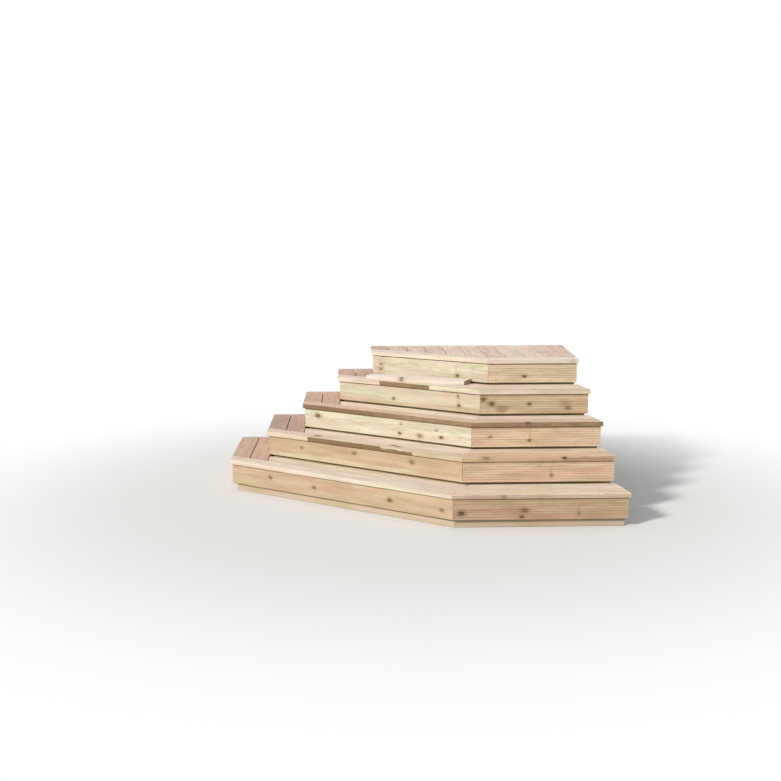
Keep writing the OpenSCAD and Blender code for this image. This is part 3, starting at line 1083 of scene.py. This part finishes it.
def screw_metal():
    """The coated heads of deck screws."""
    material = new_material("coated_screw")
    nodes = Nodes(material.node_tree)
    place = nodes.node("ShaderNodeTexCoord").outputs["Object"]
    speckle = nodes.noise(nodes.stretched(place, SPECKLE_SCALES))
    colour = nodes.mix(speckle, *SCREW_COLOURS)
    nodes.finish(colour, SCREW_ROUGHNESS, speckle, SCREW_DEPTH, SCREW_METALLIC)
    return material


# Screws
def crossing(board, v, timber):
    """How far along the board its line at v crosses the middle line of a timber, or None."""
    start = board.world(0, v, 0)
    other = timber.world(0, 0, 0)
    det = timber.u.x * board.u.y - board.u.x * timber.u.y
    if abs(det) < PARALLEL:
        return None
    dx = other.x - start.x
    dy = other.y - start.y
    u = (timber.u.x * dy - dx * timber.u.y) / det
    t = (board.u.x * dy - board.u.y * dx) / det
    inside = TIMBER_END < t < timber.length - TIMBER_END
    return u if inside else None


def on_face(board, u, v):
    """Whether a place is on the board's face, clear of its cut ends."""
    above = board.depth / 2 + PROBE
    for step in (-SCREW_END, SCREW_END):
        hit = board.tree.ray_cast(board.world(u + step, v, above), -board.w, 2 * PROBE)
        if hit[0] is None:
            return False
    return True


def tread_screws(boards, timbers):
    """Screws where boards cross the timbers under them."""
    places = []
    for board in boards:
        for v in (-SCREW_ACROSS, SCREW_ACROSS):
            for timber in timbers:
                u = crossing(board, v, timber)
                if u is not None and on_face(board, u, v):
                    places.append((board, u, v))
    return places


def row_screws(boards, rows):
    """Screws in rows along a board that lies along its timber."""
    places = []
    for board in boards:
        span = board.length - 2 * SCREW_ROW_END
        count = max(1, round(span / SCREW_SPACING))
        for number in range(count + 1):
            u = SCREW_ROW_END + span * number / count
            places.extend((board, u, v) for v in rows if on_face(board, u, v))
    return places


def make_screws(name, places, metal):
    """Makes one piece of all the screw heads at some places."""
    points = []
    faces = []
    sides = range(SCREW_SIDES)
    for board, u, v in places:
        first = len(points)
        for radius, height, lobed in SCREW_RINGS:
            for side in sides:
                turn = 2 * math.pi * side / SCREW_SIDES
                reach = radius * SCREW_RADIUS * (LOBE_DEPTH if lobed and side % 2 else 1)
                points.append(board.bent(u + reach * math.cos(turn), v + reach * math.sin(turn),
                                         board.depth / 2 + height))
        last = first + (len(SCREW_RINGS) - 1) * SCREW_SIDES
        for ring in range(first, last, SCREW_SIDES):
            for side in sides:
                near = ring + side
                after = ring + (side + 1) % SCREW_SIDES
                faces.append([near, after, after + SCREW_SIDES, near + SCREW_SIDES])
        faces.append([last + side for side in sides])
        faces.append([first + side for side in reversed(sides)])
    piece = add_object(name, smooth_mesh(name, points, faces, [metal]))
    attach(piece, "root")


# Floor, light and background
def white_share(nodes):
    """1 for the rays that show the background: camera, glossy and clear ones."""
    path = nodes.node("ShaderNodeLightPath").outputs
    share = nodes.maths("MAXIMUM", path["Is Camera Ray"], path["Is Glossy Ray"])
    return nodes.maths("MAXIMUM", share, path["Is Transmission Ray"])


def glow(nodes, kind, colour, strength):
    """The output of a Background or Emission node."""
    node = nodes.node(kind)
    nodes.put(node.inputs["Color"], colour)
    nodes.put(node.inputs["Strength"], strength)
    return node.outputs[0]


def mix_surface(nodes, share, first, second, output_kind):
    mix = nodes.node("ShaderNodeMixShader")
    for socket, value in zip(mix.inputs, (share, first, second)):
        nodes.put(socket, value)
    output = nodes.node(output_kind)
    nodes.put(output.inputs["Surface"], mix.outputs[0])


def make_world():
    """Soft fill light from all sides, which the camera sees as white."""
    world = bpy.data.worlds.new("studio")
    bpy.context.scene.world = world
    world.use_nodes = True
    nodes = Nodes(world.node_tree)
    fill = glow(nodes, "ShaderNodeBackground", FILL_COLOUR, FILL_STRENGTH)
    white = glow(nodes, "ShaderNodeBackground", WHITE, 1.0)
    mix_surface(nodes, white_share(nodes), fill, white, "ShaderNodeOutputWorld")


def make_floor():
    """A pale floor that takes shadows and turns white away from the steps."""
    corners = [(-1, -1), (1, -1), (1, 1), (-1, 1)]
    mesh = bpy.data.meshes.new("floor")
    mesh.from_pydata([(x * FLOOR_REACH, y * FLOOR_REACH, 0) for x, y in corners], [], [(0, 1, 2, 3)])
    material = new_material("floor")
    mesh.materials.append(material)
    floor = add_object("floor", mesh)
    floor.location.z = -FLOOR_DROP
    nodes = Nodes(material.node_tree)
    diffuse = nodes.node("ShaderNodeBsdfDiffuse")
    nodes.put(diffuse.inputs["Color"], FLOOR_COLOUR)
    white = glow(nodes, "ShaderNodeEmission", WHITE, 1.0)
    distance = nodes.node("ShaderNodeVectorMath", operation="LENGTH")
    nodes.put(distance.inputs[0], nodes.node("ShaderNodeTexCoord").outputs["Object"])
    fade = nodes.step(distance.outputs["Value"], FLOOR_FADE)
    share = nodes.times(fade, white_share(nodes))
    mix_surface(nodes, share, diffuse.outputs[0], white, "ShaderNodeOutputMaterial")


def make_key_light():
    """A wide soft lamp from the front left, the side that is lit in the photograph."""
    data = bpy.data.lights.new("key", "SUN")
    data.energy = KEY_STRENGTH
    data.color = KEY_COLOUR
    data.angle = KEY_ANGLE
    key = add_object("key", data)
    key.rotation_euler = KEY_SIDE.to_track_quat("Z", "Y").to_euler()


make_camera()
make_world()
make_floor()
make_key_light()
bpy.context.scene.view_settings.view_transform = "Standard"

DECKING = (planed_wood(), end_grain("decking_ends", DECKING_END_FILTER))
TIMBER = (sawn_timber(), end_grain("timber_ends", TIMBER_END_FILTER))
METAL = screw_metal()

rng = random.Random(SEED)
boards = {node: boards_of(node) for node in sorted(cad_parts)}
all_boards = [board for group in boards.values() for board in group]
for board in all_boards:
    board.character(rng)
    board.tree = BVHTree.FromBMesh(board.mesh)
mark_boards(all_boards)
for board in all_boards:
    add_small_knots(board, rng)

for node, group in boards.items():
    tint_boards(node, group)
    for board in group:
        slice_across(board)
    piece = dress(node, group, TIMBER if is_sawn(node) else DECKING)

for level in range(1, LEVELS + 1):
    timbers = boards[f"frame_{level}_rims"] + boards[f"frame_{level}_joists"]
    if level < LEVELS:
        name = f"tread_{level}"
        nosings = boards[f"tread_{level}_nosings"]
        treads = boards[f"tread_{level}_inner_boards"] + boards[f"tread_{level}_side_boards"]
    else:
        name = "platform"
        nosings = boards["platform_nosings"]
        treads = boards["platform_boards"]
    places = tread_screws(treads, timbers) + row_screws(nosings, NOSING_ROWS)
    make_screws(f"{name}_screws", places, METAL)
    risers = []
    for side in ("side", "diagonal", "front"):
        risers += boards[f"riser_{level}_{side}"]
    make_screws(f"riser_{level}_screws", row_screws(risers, (-SCREW_ACROSS, SCREW_ACROSS)), METAL)
